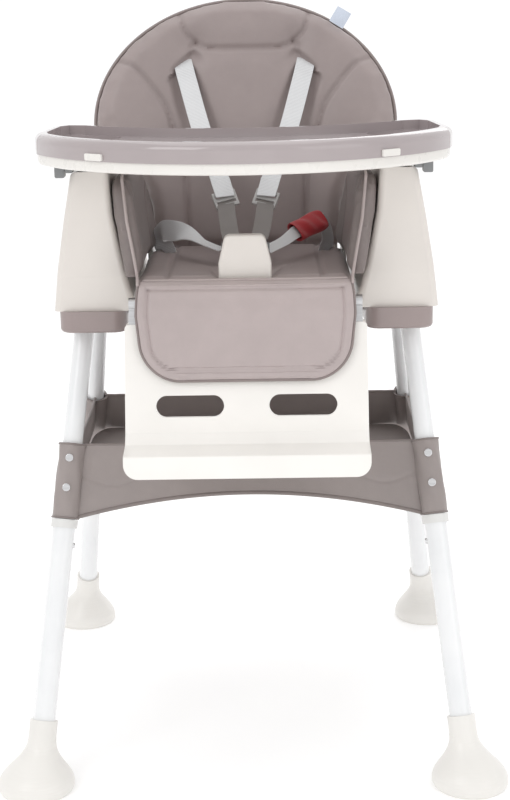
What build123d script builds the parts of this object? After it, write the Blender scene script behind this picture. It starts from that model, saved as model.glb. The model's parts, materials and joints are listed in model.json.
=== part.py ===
from build123d import *
import os
from math import cos, pi, radians, sin, sqrt

# Baby high chair. Millimetres, +Z up, front towards -Y, origin on the floor under the middle.

# Overall stance and height
totalHeight = 950.0
footReachX = 316.0
footReachY = 325.0
footHalfX = 47.0
footHalfY = 46.5
footNeckR = 17.6
footSteps = 12

# Legs: straight tubes splayed outwards, given at floor level and by slope
legFloorX = 268.1
legFloorY = 288.0
splayX = 0.112
splayY = 0.36
lowerTubeR = 14.0
upperTubeR = 12.5
tubeWall = 1.5
runningGap = 0.05
tubeBottomZ = 16.0
lowerTubeTopZ = 316.0
upperTubeBottomZ = 262.0
upperTubeTopZ = 588.0
snapZ = 286.0
snapPinR = 3.4

# Seat level
hubBottomZ = 549.0
hubTopZ = 576.0
panelTopZ = 748.0
panelFrontY = -150.0
panelWall = 3.0
panZ = 590.0
panTopZ = 600.0
panHalfX = 134.0
panFrontY = -188.0
panRearY = 78.0
seatTopZ = 622.0
crossbarZ = 562.0
crossbarR = 8.0
crossbarY = 46.0

# Recline hinge, and the backrest measured along it (s) and forward of it (t)
backHingeY = 95.0
backHingeZ = 610.0
backLean = 12.0
backWideS = 175.0
backHalfX = 207.0
backFootS = 18.0
backNeckHalfX = 128.0
shellBackT = -6.0
shellFrontT = 2.0
padFrontT = 32.0
backTopS = (totalHeight - backHingeZ - padFrontT * sin(radians(backLean))) / cos(radians(backLean))
slotX = 85.0
slotS = 261.0
hingePinR = 4.0
lugNoseR = 8.5

# Footrest: a frame hinged at the seat's front edge, and a step that slides on its rails
legHingeY = -208.0
legHingeZ = 597.0
footLean = 16.9
railDepthT = -8.0
railX0 = 126.0
railX1 = 140.0
slideGap = 0.3
armInX = 120.0
armOutX = 146.0

# Tray
trayBottomZ = 758.0
traySeamZ = 771.0
trayTopZ = 795.0
trayHalfX = 254.0
cupX = 190.0
cupY = -92.0
railX = 192.0

# Basket
basketTopZ = 404.0
basketBottomZ = 318.0
basketFloorZ = 345.0
clothT = 2.5

sides = ((-1, "left"), (1, "right"))
ends = ((-1, "front"), (1, "rear"))

backPlane = Plane(origin=(0, backHingeY, backHingeZ), x_dir=(1, 0, 0),
                  z_dir=(0, -cos(radians(backLean)), sin(radians(backLean))))
stepPlane = Plane(origin=(0, legHingeY, legHingeZ), x_dir=(1, 0, 0),
                  z_dir=(0, -cos(radians(footLean)), sin(radians(footLean))))


def save(name, *solids):
    shape = solids[0] if len(solids) == 1 else Compound(list(solids))
    export_step(shape, f"parts/{name}.step")


def block(x, y, z):
    """A box from three (low, high) pairs."""
    size = [high - low for low, high in (x, y, z)]
    mid = [(high + low) / 2 for low, high in (x, y, z)]
    return Pos(*mid) * Box(*size)


def across(side, low, high):
    """An X span given outwards from the middle, on one side of the chair."""
    return (low, high) if side > 0 else (-high, -low)


def barX(radius, x, y, z):
    """A round bar along X."""
    return Pos((x[0] + x[1]) / 2, y, z) * Rot(0, 90, 0) * Cylinder(radius, x[1] - x[0])


def legPoint(side, end, z):
    return Vector(side * (legFloorX - splayX * z), end * (legFloorY - splayY * z), z)


def legDirection(side, end):
    return Vector(-side * splayX, -end * splayY, 1).normalized()


def legRod(side, end, z0, z1, radius):
    """A solid round bar on a leg's axis between two heights."""
    start = legPoint(side, end, z0)
    length = (legPoint(side, end, z1) - start).length
    plane = Plane(origin=start, z_dir=legDirection(side, end))
    return plane * Cylinder(radius, length, align=(Align.CENTER, Align.CENTER, Align.MIN))


def snapPlane(side, end):
    """The snap button's plane: its normal points out of the button, inwards under the seat."""
    along = legDirection(side, end)
    inward = Vector(-side, 0, 0)
    normal = (inward - along * inward.dot(along)).normalized()
    return Plane(origin=legPoint(side, end, snapZ), x_dir=along, z_dir=normal)


def legParts(side, end, tag):
    """One leg: the snap button and the foot are saved here, the two tubes are returned."""
    plane = snapPlane(side, end)
    hole = plane * Pos(0, 0, 12) * Cylinder(snapPinR + 0.1, 12)
    lower = legRod(side, end, tubeBottomZ, lowerTubeTopZ, lowerTubeR)
    lower -= legRod(side, end, tubeBottomZ - 5, lowerTubeTopZ + 5, upperTubeR + runningGap)
    upper = legRod(side, end, upperTubeBottomZ, upperTubeTopZ, upperTubeR)
    upper -= legRod(side, end, upperTubeBottomZ - 5, upperTubeTopZ + 5, upperTubeR - tubeWall)
    # The button's pin, its flange inside the tube, and the bent leaf that pushes it out
    pin = Pos(0, 0, 12.0) * Cylinder(snapPinR, 9.0)
    pin = fillet(pin.edges().sort_by(Axis.Z)[-1], 1.5)
    flange = Pos(0, 0, 8.0) * Cylinder(5.0, 3.0)
    leaf = Pos(12.0, 0, 0.0) * Rot(0, 31, 0) * Box(28.0, 6.0, 0.8)
    save(f"snap_button_{tag}", plane * (pin + flange + leaf))
    save(f"foot_{tag}", foot(side, end))
    return lower - hole, upper - hole


def foot(side, end):
    """A flared boot: a wide oval sole that sweeps in to a collar round the tube."""
    midX = side * (footReachX - footHalfX)
    midY = end * (footReachY - footHalfY)
    sections = [Pos(midX, midY, 0) * Ellipse(footHalfX - 2, footHalfY - 2),
                Pos(midX, midY, 4) * Ellipse(footHalfX, footHalfY),
                Pos(midX, midY, 9) * Ellipse(footHalfX, footHalfY)]
    sole = loft(sections, ruled=True)
    flare = []
    for step in range(footSteps + 1):
        rise = step / footSteps
        z = 9 + rise * 51
        spread = (1 + cos(pi * rise ** 0.9)) / 2
        axis = legPoint(side, end, z)
        centre = (axis.X + (midX - axis.X) * spread, axis.Y + (midY - axis.Y) * spread, z)
        halfX = footNeckR + (footHalfX - footNeckR) * spread
        halfY = footNeckR + (footHalfY - footNeckR) * spread
        flare.append(Pos(*centre) * Ellipse(halfX, halfY))
    body = sole + loft(flare, ruled=True) + legRod(side, end, 48, 82, 17.2)
    return body - legRod(side, end, tubeBottomZ, 100, lowerTubeR + runningGap)


def hub(side):
    """The dark lower moulding that the two legs of one side plug up into."""
    lowerX = across(side, 148, 232)
    body = block(lowerX, (-150, 132), (hubBottomZ, hubTopZ))
    body = fillet(body.edges().filter_by(Axis.Z), 18)
    body = fillet(body.faces().sort_by(Axis.Z)[0].edges(), 5)
    for end, _ in ends:
        body += legRod(side, end, hubTopZ - 8, upperTubeTopZ, 17.5)
        body += legRod(side, end, hubBottomZ - 6, hubBottomZ + 8, 16.5)
    for end, _ in ends:
        body -= legRod(side, end, hubBottomZ - 40, upperTubeTopZ + 20, upperTubeR + runningGap)
    for y in (-crossbarY, crossbarY):
        body -= barX(crossbarR + runningGap, across(side, 140, 224), y, crossbarZ)
    # A blind pocket between the legs keeps the walls thin
    pocket = block(across(side, 158, 222), (-crossbarY + 14, crossbarY - 14), (hubBottomZ + 4, hubTopZ + 1))
    return body - pocket


def panelSolid(side, inset, bottomZ):
    """The armrest housing's outer form, or its hollow when inset."""
    inner = [(135, bottomZ), (148, 629), (161, 695), (165, panelTopZ)]
    outer = [(210, panelTopZ), (221, 690), (231, 630), (238, bottomZ)]
    points = [(side * (x + inset), z) for x, z in inner] + [(side * (x - inset), z) for x, z in outer]
    points = [(x, min(z, panelTopZ - inset)) for x, z in points]
    front = make_face(Polyline(*points, close=True))
    wide = extrude(Plane.XZ * front, 200, both=True)
    topZ = panelTopZ - inset
    profile = make_face(Polyline((panelFrontY + 6 + inset, bottomZ), (panelFrontY + inset, 620),
                                 (panelFrontY + inset, topZ), (84 - inset, topZ), (88 - inset, 700),
                                 (132 - inset, 580), (132 - inset, bottomZ), close=True))
    profile = fillet(profile.vertices().filter_by(lambda v: v.X > 80 - inset and v.Y > bottomZ + 1), 14)
    tall = extrude(Plane.YZ * profile, 300, both=True)
    return wide & tall


def sidePanel(side):
    body = panelSolid(side, 0, hubTopZ)
    upright = body.edges().filter_by(lambda e: e.bounding_box().min.Z > hubTopZ - 1)
    upright = upright.filter_by(lambda e: e.bounding_box().size.Z > 20)
    upright = upright.filter_by(lambda e: abs(e.center().X) > 205 or e.center().Y < panelFrontY + 7)
    body = fillet(upright, 8)
    hollow = panelSolid(side, panelWall, hubTopZ - 1)
    return body - hollow


def seatShell():
    """The seat pan with its front lugs for the footrest and rear ears for the backrest."""
    pan = block((-panHalfX, panHalfX), (panFrontY, panRearY), (panZ, panTopZ))
    pan = fillet(pan.edges().filter_by(Axis.Z), 10)
    pinY, pinZ = footHinge()
    for side, _ in sides:
        pan += block(across(side, 60, 66), (panFrontY + 12, panRearY - 12), (crossbarZ + crossbarR, panZ))
        pan += block(across(side, 128, 134), (56, 108), (panZ, 623))
        # Each front lug has a round nose about the pin, so that the footrest's crossbar swings past it
        pan += block(across(side, 112, 122), (pinY, panFrontY + 20), (pinZ - lugNoseR, panTopZ))
        nose = barX(lugNoseR, across(side, 112, 122), pinY, pinZ)
        pan += nose - block(across(side, 111, 123), (-220, -180), (panTopZ, panTopZ + 10))
        pan -= barX(hingePinR + runningGap, across(side, 120, 140), backHingeY, backHingeZ)
        pan -= barX(hingePinR + runningGap, across(side, 100, 130), pinY, pinZ)
    # Slots for the crotch strap and the two lap straps
    pan -= block((-16, 16), (-118, -108), (panZ - 1, panTopZ + 1))
    for side, _ in sides:
        pan -= block(across(side, 100, 108), (14, 44), (panZ - 1, panTopZ + 1))
    return pan


def footHinge():
    """World Y and Z of the footrest's hinge."""
    lean = radians(footLean)
    return legHingeY - railDepthT * cos(lean), legHingeZ + railDepthT * sin(lean)


def legHardware():
    """The rings on the lower tubes, the cross tubes, hinge pins and screws."""
    rings = []
    for side, _ in sides:
        for end, _ in ends:
            ring = legRod(side, end, lowerTubeTopZ - 10, lowerTubeTopZ, 16.6)
            bore = legRod(side, end, lowerTubeTopZ - 20, lowerTubeTopZ + 9, lowerTubeR + runningGap)
            rings.append(ring - bore)
    save("leg_rings", *rings)
    crossbars = []
    for y in (-crossbarY, crossbarY):
        bore = barX(crossbarR - tubeWall, (-221, 221), y, crossbarZ)
        crossbars.append(barX(crossbarR, (-220, 220), y, crossbarZ) - bore)
    save("seat_crossbars", *crossbars)
    save("recline_hinge_pins", *[barX(hingePinR, across(side, 97, 134), backHingeY, backHingeZ)
                                 for side, _ in sides])
    pinY, pinZ = footHinge()
    save("footrest_hinge_pins", *[barX(hingePinR, across(side, 112, 140), pinY, pinZ) for side, _ in sides])
    screws = []
    for side, _ in sides:
        for x, y in ((166, -118), (214, -118), (166, 112), (214, 112)):
            head = Pos(side * x, y, hubBottomZ - 1.2) * Cylinder(4.0, 2.4)
            screws.append(fillet(head.edges().sort_by(Axis.Z)[0], 1.0))
    save("hub_screws", *screws)
    quadrants = []
    for side, _ in sides:
        disc = barX(16, across(side, 27, 33), backHingeY, backHingeZ)
        disc += block(across(side, 27, 33), (panRearY, backHingeY), (panZ, backHingeZ - 2))
        for step in range(4):
            notch = backLean + 42 + step * 11.5
            turned = Pos(0, backHingeY, backHingeZ) * Rot(-notch, 0, 0)
            disc -= turned * Pos(side * 30, 0, 16) * Rot(0, 90, 0) * Cylinder(2.6, 8)
        quadrants.append(disc)
    save("recline_quadrants", *quadrants)


def postOutline(grow):
    """The crotch post's front view: straight sides and round shoulders."""
    half, foot, top = 32 + grow, panTopZ, 674 + grow
    shape = make_face(Polyline((-half, foot), (-half, 640), (-24 - grow, top), (24 + grow, top),
                               (half, 640), (half, foot), close=True))
    upper = shape.vertices().filter_by(lambda v: v.Y > 630)
    return extrude(Plane.XZ * fillet(upper, 8), 300, both=True)


def postSide(grow):
    """The post's side view: it leans back a little and its foot is deeper."""
    points = [(-190 - grow, panTopZ), (-188 - grow, 676 + grow),
              (-172 + grow, 676 + grow), (-160 + grow, panTopZ)]
    return extrude(Plane.YZ * make_face(Polyline(*points, close=True)), 60, both=True)


def seatSoftParts():
    post = postOutline(0) & postSide(0)
    post = fillet(post.edges().filter_by(lambda e: e.bounding_box().min.Z > 610), 3)
    save("crotch_post", post)
    pad = block((-128, 128), (-198, 62), (panTopZ + 0.3, seatTopZ))
    pad = fillet(pad.edges().filter_by(Axis.Z), 12)
    pad = fillet(pad.faces().sort_by(Axis.Z)[-1].edges(), 8)
    pad -= block((-33, 33), (-191, -159), (panTopZ - 1, seatTopZ + 1))
    pad -= block((-17, 17), (-119, -107), (panTopZ - 1, seatTopZ + 1))
    for side, _ in sides:
        pad -= block(across(side, 99, 109), (13, 45), (panTopZ - 1, seatTopZ + 1))
    save("seat_cushion", pad)
    wings = []
    for side, _ in sides:
        points = [(side * x, z) for x, z in ((120, 624.5), (144, 624.5), (158, 690),
                                             (161, 742), (142, 742), (134, 690))]
        wing = extrude(Plane.XZ * make_face(Polyline(*points, close=True)), 200, both=True)
        wing &= block((-200, 200), (-150, 60), (600, 760))
        wings.append(fillet(wing.edges().filter_by(Axis.Y), 4))
    save("side_wings", *wings)


def webbing(points, width, thick=1.6):
    """Flat webbing through points that lie in one plane of constant X step; width runs along X."""
    runs = []
    for (x0, y0, z0), (x1, y1, z1) in zip(points, points[1:]):
        start, finish = Vector(x0, y0, z0), Vector(x1, y1, z1)
        along = (finish - start).normalized()
        normal = Vector(1, 0, 0).cross(along).normalized()
        plane = Plane(origin=start, x_dir=along, z_dir=normal)
        length = (finish - start).length
        runs.append(plane * Pos(length / 2, 0, 0) * Box(length, width, thick))
    shape = runs[0]
    for run in runs[1:]:
        shape += run
    return shape


def harness():
    uppers, lowers, adjusters, laps = [], [], [], []
    for side, _ in sides:
        slotIn = backPlane.from_local_coords((side * slotX, slotS, -4))
        slotOut = backPlane.from_local_coords((side * slotX, slotS, padFrontT + 3))
        chest = [(side * 58, 62, 780), (side * 27, 4, 700)]
        uppers.append(webbing([tuple(slotIn), tuple(slotOut), *chest], 22))
        lowers.append(webbing([(side * 25, -13, 682), (side * 20, -70, 662), (side * 16, -104, 656)], 20))
        # Slide adjuster: a plate with three bars
        frame = Box(30, 22, 4) - Pos(0, 6, 0) * Box(24, 4, 6) - Pos(0, -6, 0) * Box(24, 4, 6)
        tilt = Plane(origin=(side * 26, 1, 693), x_dir=(1, 0, 0), z_dir=(0, -0.55, 0.83))
        adjusters.append(tilt * frame)
        laps.append(webbing([(side * 101, 29, 626), (side * 84, -20, 634), (side * 42, -104, 643)], 20))
    save("shoulder_straps", *uppers)
    save("waist_straps", *lowers)
    save("strap_adjusters", *adjusters)
    save("lap_straps", *laps)
    sleeveRun = [(97, -14, 640), (62, -84, 649)]
    save("strap_sleeve", webbing(sleeveRun, 27, 5.0) - webbing(sleeveRun, 21, 2.6))
    # Crotch strap up from its slot, and the buckle standing behind the post
    save("crotch_strap", block((-12.5, 12.5), (-113.8, -112.2), (panZ - 6, 627.5)))
    shell = block((-20, 20), (-120, -106), (628, 662))
    shell = fillet(shell.edges().filter_by(Axis.Y), 6)
    save("buckle_body", shell - block((-8.3, 8.3), (-121, -111.6), (636.7, 653.3)))
    button = block((-8, 8), (-121.5, -115.2), (637, 653))
    save("buckle_button", fillet(button.edges().filter_by(Axis.Y), 2))
    save("buckle_spring", Pos(0, -111.9, 645) * Rot(90, 0, 0) * Cylinder(3.0, 0.6))
    tongues = [block(across(side, 20.2, 30), (-115, -112), (636, 654)) for side, _ in sides]
    save("buckle_tongues", *tongues)


def backOutline(inset):
    """The backrest's egg: an elliptical top that narrows to the hinge."""
    wide, low = backHalfX - inset, 124 - inset
    top = EllipticalCenterArc((0, backWideS), wide, backTopS - backWideS - inset, arc_size=180)
    right = TangentArc((wide, backWideS), (low, 62), tangent=(0, -1))
    left = mirror(right, about=Plane.YZ)
    base = Polyline((low, 62), (low, backFootS), (-low, backFootS), (-low, 62))
    return make_face(Curve() + [top, right, left, base])


def padOutline():
    """The back cushion: the same round top, and a neck that fits between the armrests."""
    wide = backHalfX
    top = EllipticalCenterArc((0, backWideS), wide, backTopS - backWideS, arc_size=180)
    neck = backNeckHalfX
    lower = Polyline((wide, backWideS), (198, 158), (neck, 150), (neck, backFootS), (-neck, backFootS),
                     (-neck, 150), (-198, 158), (-wide, backWideS))
    return make_face(Curve() + [top, lower])


def backSlots(t0, t1):
    cuts = [Pos(side * slotX, slotS, (t0 + t1) / 2) * Box(34, 9, t1 - t0) for side, _ in sides]
    return cuts[0] + cuts[1]


def backrest():
    shell = extrude(Pos(0, 0, shellBackT) * backOutline(3), shellFrontT - shellBackT)
    shell = fillet(shell.faces().sort_by(Axis.Z)[0].edges(), 3)
    for side, _ in sides:
        # Lug round the hinge pin, a stiffening rib, and guides for the latch rod
        lug = block(across(side, 97, 124), (-9, 30), (-9, shellFrontT))
        shell += fillet(lug.edges().filter_by(Axis.X), 4)
        shell += block(across(side, 108, 113), (28, 250), (shellBackT - 8, shellBackT))
        shell += block(across(side, 24, 36), (34, 46), (-20, shellBackT))
        shell -= barX(hingePinR + runningGap, across(side, 90, 130), 0, 0)
    # Oval stiffening rib, open at the bottom for the latch and at the strap anchors
    rib = extrude(Pos(0, 195, shellBackT - 8) * (Ellipse(135, 115) - Ellipse(129, 109)), 8)
    rib -= block((-70, 70), (60, 200), (-20, 0))
    for side, _ in sides:
        rib -= block(across(side, 58, 112), (250, 273), (-20, 0))
    shell += rib
    for side, _ in sides:
        shell -= Pos(side * 30, 70, -12) * Rot(90, 0, 0) * Cylinder(3.1, 130)
    shell -= backSlots(shellBackT - 1, shellFrontT + 1)
    save("back_shell", backPlane * shell)
    bezel = block((-58, 58), (88, 172), (-30, shellBackT - 0.1)) - block((-49, 49), (96, 164), (-31, 0))
    bezel = fillet(bezel.edges().filter_by(Axis.Z).filter_by(lambda e: abs(e.center().X) > 55), 12)
    for side, _ in sides:
        bezel -= Pos(side * 30, 92, -12) * Rot(90, 0, 0) * Cylinder(3.1, 12)
    save("latch_bezel", backPlane * bezel)
    grip = block((-45, 45), (118, 140), (-30, -7)) - block((-38, 38), (117, 133), (-25, -6))
    for side, _ in sides:
        grip -= Pos(side * 30, 128, -12) * Rot(90, 0, 0) * Cylinder(3.05, 20)
    grip = fillet(grip.edges().filter_by(Axis.X).filter_by(lambda e: e.center().Z < -29), 3)
    save("recline_handle", backPlane * grip)
    rods = [backPlane * Pos(side * 30, 74, -12) * Rot(90, 0, 0) * Cylinder(3.0, 124) for side, _ in sides]
    save("latch_rods", *rods)
    springs = []
    for side, _ in sides:
        coil = Pos(side * 30, 156.5, -12) * Rot(90, 0, 0) * (Cylinder(4.6, 14) - Cylinder(3.2, 15))
        springs.append(backPlane * coil)
    save("latch_springs", *springs)
    pad = extrude(Pos(0, 0, shellFrontT + 0.2) * padOutline(), padFrontT - shellFrontT - 0.2)
    pad -= backSlots(shellFrontT, padFrontT + 1)
    save("back_cushion", backPlane * pad)
    anchors = [backPlane * Pos(side * slotX, slotS + 0.5, shellBackT - 1.6) * Box(46, 14, 3)
               for side, _ in sides]
    save("strap_anchor_bars", *anchors)


def fabricTag():
    """A plain folded tag sewn into the seam at the top right of the back cushion."""
    alongX, alongS = 126.0, backTopS - backWideS
    edgeS = backWideS + alongS * sqrt(1 - (alongX / backHalfX) ** 2)
    patch = Pos(alongX, edgeS, 22) * Rot(0, 0, -31.6) * Pos(0, 13.8, 0) * Box(26, 26, 1.2)
    save("fabric_tag", backPlane * patch)


def stepOutline():
    """The step's front view, with its round lower corners and the tall round-cornered cut-out."""
    half, cut = armOutX - 1, armInX
    outer = make_face(Polyline((-half, 572), (half, 572), (half, 380), (-half, 380), close=True))
    outer = fillet(outer.vertices().filter_by(lambda v: v.Y > 500), 5)
    opening = make_face(Polyline((-cut, 640), (cut, 640), (cut, 508), (-cut, 508), close=True))
    opening = fillet(opening.vertices().filter_by(lambda v: v.Y < 520), 38)
    slots = [Pos(x, 478) * SlotOverall(81, 25) for x in (-67.5, 67.5)]
    return extrude(Plane.XZ * (outer - opening - slots[0] - slots[1]), 500, both=True)


def stepLipOutline():
    """Round lower corners of the step's front lip, seen from the front."""
    half = armOutX - 1
    outer = make_face(Polyline((-half, 700), (half, 700), (half, 405), (-half, 405), close=True))
    return extrude(Plane.XZ * fillet(outer.vertices().filter_by(lambda v: v.Y < 410), 17), 500, both=True)


def frontLine(z, back=0.0):
    """Y of the step's front plane, or of a plane further back, at a height."""
    lean = radians(footLean)
    return legHingeY - (legHingeZ - z) * sin(lean) / cos(lean) + back / cos(lean)


def footrest():
    wall = 5.0
    skin = [(frontLine(572), 572), (frontLine(448), 448), (-264, 436), (-297, 431), (-302, 405),
            (-297, 405), (-292, 425), (-260, 430), (frontLine(444, wall), 446), (frontLine(572, wall), 572)]
    face = make_face(Polyline(*skin, close=True))
    face = fillet(face.vertices().filter_by(lambda v: 425 < v.Y < 440), 2.4)
    body = extrude(Plane.YZ * face, armOutX - 1, both=True)
    arm = make_face(Polyline((frontLine(572), 572), (frontLine(448), 448), (frontLine(448, 18), 448),
                             (frontLine(572, 18), 572), close=True))
    for side, _ in sides:
        armRoom = block(across(side, armInX, armOutX - 1), (-400, 0), (300, 700))
        body += extrude(Plane.YZ * arm, 400, both=True) & armRoom
        # Gusset from each arm down to the end of the shelf
        gusset = make_face(Polyline((frontLine(448), 448), (-262, 434), (-297, 429), (-299, 408),
                                    (-262, 416), (frontLine(448, 18), 448), close=True))
        gussetRoom = block(across(side, armOutX - 5, armOutX - 1), (-400, 0), (300, 700))
        body += extrude(Plane.YZ * gusset, 400, both=True) & gussetRoom
    body &= stepOutline()
    body &= stepLipOutline()
    channel = block((railX0 - slideGap, railX1 + slideGap), (-152, -20),
                    (railDepthT - 5.3, railDepthT + 4.5))
    for mirrored in (channel, mirror(channel, about=Plane.YZ)):
        body -= stepPlane * mirrored
    save("footrest", body)


def footrestCarrier():
    pinGap = hingePinR + runningGap
    rails = []
    for side, _ in sides:
        rail = block(across(side, railX0, railX1), (-112, 0), (railDepthT - 5, railDepthT + 4.2))
        rail += barX(7.5, across(side, railX0, railX1), 0, railDepthT)
        rail -= barX(pinGap, across(side, 120, 150), 0, railDepthT)
        for step in range(3):
            notchV = -60 - 24 * step
            rail -= block(across(side, railX1 - 2, railX1 + 1), (notchV, notchV + 6), (-20, 0))
        rails.append(stepPlane * rail)
    save("footrest_rails", *rails)
    bar = block((-railX0, railX0), (-18, -10), (-13, -9))
    save("footrest_crossbar", stepPlane * bar)
    half0, half1 = 131, 122
    face = make_face(Polyline((-half0, -14), (half0, -14), (half1, -92), (-half1, -92), close=True))
    face = fillet(face.vertices().filter_by(lambda v: v.Y < -50), 42)
    flap = extrude(Pos(0, 0, 3.2) * face, 6.5)
    save("calf_flap", stepPlane * flap)
    hooks = [stepPlane * block(across(side, 84, 100), (-17, -11), (-9, 3.2)) for side, _ in sides]
    save("flap_straps", *hooks)


def trayOutline(inset=0.0):
    """Plan of the tray: a bowed front, round ends, and a hollow back with two horns."""
    half = trayHalfX
    front = ThreePointArc((-half + 6, -158), (0, -320), (half - 6, -158))
    right = Polyline((half - 6, -158), (half, -128), (half - 6, -30), (half - 24, -2), (half - 60, -14))
    back = ThreePointArc((half - 60, -14), (0, -100), (-half + 60, -14))
    left = mirror(right, about=Plane.YZ)
    face = make_face(Curve() + [front, right, back, left])
    face = fillet(face.vertices().filter_by(lambda v: abs(v.X) > 60), 14)
    return offset(face, -inset) if inset else face


def tray():
    base = extrude(Pos(0, 0, trayBottomZ) * trayOutline(2.5), traySeamZ - trayBottomZ)
    base = fillet(base.faces().sort_by(Axis.Z)[0].edges(), 4)
    base -= extrude(Pos(0, 0, trayBottomZ + 4) * trayOutline(9), traySeamZ - trayBottomZ)
    for side, _ in sides:
        runner = block(across(side, railX - 12, railX + 12), (-150, 0), (panelTopZ + 1.5, trayBottomZ + 2))
        runner -= block(across(side, railX - 8.3, railX + 8.3), (-151, 1),
                        (panelTopZ + 3.2, trayBottomZ - 1.2))
        runner -= block(across(side, railX - 4.3, railX + 4.3), (-151, 1), (panelTopZ, trayBottomZ - 2))
        runner -= block(across(side, railX + 7, railX + 13), (-154, -145),
                        (panelTopZ + 4.5, trayBottomZ - 2.2))
        base += runner
    save("tray_base", base)
    rails, keepers, clips = [], [], []
    for side, tag in sides:
        rail = block(across(side, railX - 4, railX + 4), (-146, 58), (panelTopZ, panelTopZ + 4))
        rail += block(across(side, railX - 8, railX + 8), (-146, 58), (panelTopZ + 3.5, trayBottomZ - 1.5))
        for step in range(3):
            notchY = -126 + 20 * step
            rail -= block(across(side, railX + 5, railX + 9), (notchY, notchY + 7), (740, 770))
        rails.append(rail)
        lever = block(across(side, railX + 12.4, railX + 36), (-157, -143), (752.5, trayBottomZ - 0.3))
        lever += block(across(side, railX + 8.6, railX + 12.5), (-150.8, -149.2), (753, trayBottomZ - 2.6))
        lever += block(across(side, railX + 24, railX + 36), (-157, -143), (742, 753))
        lever = fillet(lever.edges().filter_by(Axis.Y).filter_by(lambda e: e.center().Z < 743), 2)
        save(f"tray_lever_{tag}", lever)
        keeper = block(across(side, railX + 14, railX + 22), (-164, -136), (748.5, trayBottomZ))
        keeper -= block(across(side, railX + 13, railX + 23), (-157.3, -142.7), (752.2, trayBottomZ + 1))
        keepers.append(keeper)
    save("tray_rails", *rails)
    save("lever_keepers", *keepers)
    top = extrude(Pos(0, 0, traySeamZ) * trayOutline(), trayTopZ - traySeamZ)
    top = fillet(top.faces().sort_by(Axis.Z)[-1].edges(), 10)
    top -= extrude(Pos(0, 0, trayTopZ - 11) * trayOutline(15), 20)
    cups = [Pos(side * cupX, cupY, 788) * Cylinder(38, 20) for side, _ in sides]
    under = extrude(Pos(0, 0, traySeamZ - 1) * trayOutline(18), 10)
    for side, _ in sides:
        under -= Pos(side * cupX, cupY, traySeamZ) * Cylinder(42, 40)
    top = top - under - cups[0] - cups[1]
    save("tray_top", top)
    # Two catches on the front skirt, square to the bowed edge
    bowX, bowDepth = trayHalfX - 6, 162.0
    bowR = (bowX ** 2 + bowDepth ** 2) / (2 * bowDepth)
    for side, _ in sides:
        catch = Pos(0, -bowR - 1.6, 776) * Box(26, 3, 8)
        catch = fillet(catch.edges().filter_by(Axis.Y), 2)
        clips.append(Pos(0, bowR - 320, 0) * Rot(0, 0, side * 38.3) * catch)
    save("tray_clips", *clips)


def basketPlaneFront(end):
    """The sloping plane through both tubes of the front or rear legs."""
    return [(end * (legFloorY - splayY * z), z) for z in (basketBottomZ - 30, basketTopZ + 30)]


def basketEndPanel(end, top):
    """A cloth panel between two legs, with a shallow arch along its lower edge."""
    (y0, z0), (y1, z1) = basketPlaneFront(end)
    slab = make_face(Polyline((y0 - clothT / 2, z0), (y0 + clothT / 2, z0),
                              (y1 + clothT / 2, z1), (y1 - clothT / 2, z1), close=True))
    slab = extrude(Plane.YZ * slab, 300, both=True)
    lowHalf = legPoint(1, 1, basketBottomZ).X - 17.2
    topHalf = legPoint(1, 1, top).X - 17.2
    arch = ThreePointArc((-lowHalf, basketBottomZ), (0, basketFloorZ - 1), (lowHalf, basketBottomZ))
    edge = Polyline((lowHalf, basketBottomZ), (topHalf, top), (-topHalf, top), (-lowHalf, basketBottomZ))
    outline = extrude(Plane.XZ * make_face(Curve() + [arch, edge]), 300, both=True)
    return slab & outline


def basket():
    sleeves = []
    snaps = []
    for side, _ in sides:
        for end, _ in ends:
            top = basketTopZ if end < 0 else basketTopZ - 6
            sleeve = legRod(side, end, basketBottomZ, top, 16.8)
            sleeves.append(sleeve - legRod(side, end, basketBottomZ - 20, top + 20, upperTubeR + 0.3))
            for z in (353, 388):
                centre = legPoint(side, end, z)
                plane = Plane(origin=centre, z_dir=(0, end, 0.36))
                snap = Pos(0, 0, 17.8) * Cylinder(5.0, 1.9)
                snaps.append(plane * fillet(snap.edges().sort_by(Axis.Z)[-1], 0.7))
    save("basket_sleeves", *sleeves)
    save("basket_snaps", *snaps)
    save("basket_front_panel", basketEndPanel(-1, basketTopZ))
    save("basket_rear_panel", basketEndPanel(1, basketTopZ - 6))
    walls = []
    for side, _ in sides:
        low = legPoint(side, 1, basketFloorZ + 1)
        high = legPoint(side, 1, basketTopZ - 8)
        inX = -side * clothT
        section = make_face(Polyline((low.X, low.Z), (high.X, high.Z),
                                     (high.X + inX, high.Z), (low.X + inX, low.Z), close=True))
        wall = extrude(Plane.XZ * section, 300, both=True)
        lowY, highY = low.Y - 19.5, high.Y - 19.5
        span = make_face(Polyline((-lowY, low.Z), (lowY, low.Z), (highY, high.Z), (-highY, high.Z),
                                  close=True))
        walls.append(wall & extrude(Plane.YZ * span, 300, both=True))
    save("basket_side_panels", *walls)
    reachX = legPoint(1, 1, basketFloorZ).X - 20
    reachY = legPoint(1, 1, basketFloorZ).Y - 4
    floor = block((-reachX, reachX), (-reachY, reachY), (basketFloorZ - 2, basketFloorZ + clothT - 2))
    save("basket_floor", floor)


os.makedirs("parts", exist_ok=True)
tubes = []
for side, sideTag in sides:
    for end, endTag in ends:
        tubes.append(legParts(side, end, f"{endTag}_{sideTag}"))
    save(f"leg_hub_{sideTag}", hub(side))
    save(f"side_panel_{sideTag}", sidePanel(side))
save("lower_legs", *[lower for lower, upper in tubes])
save("upper_legs", *[upper for lower, upper in tubes])
save("seat_shell", seatShell())
legHardware()
seatSoftParts()
harness()
backrest()
footrest()
footrestCarrier()
tray()
basket()
fabricTag()
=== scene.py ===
import json
import math
import bpy
import numpy as np
from mathutils import Matrix, Vector


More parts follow.
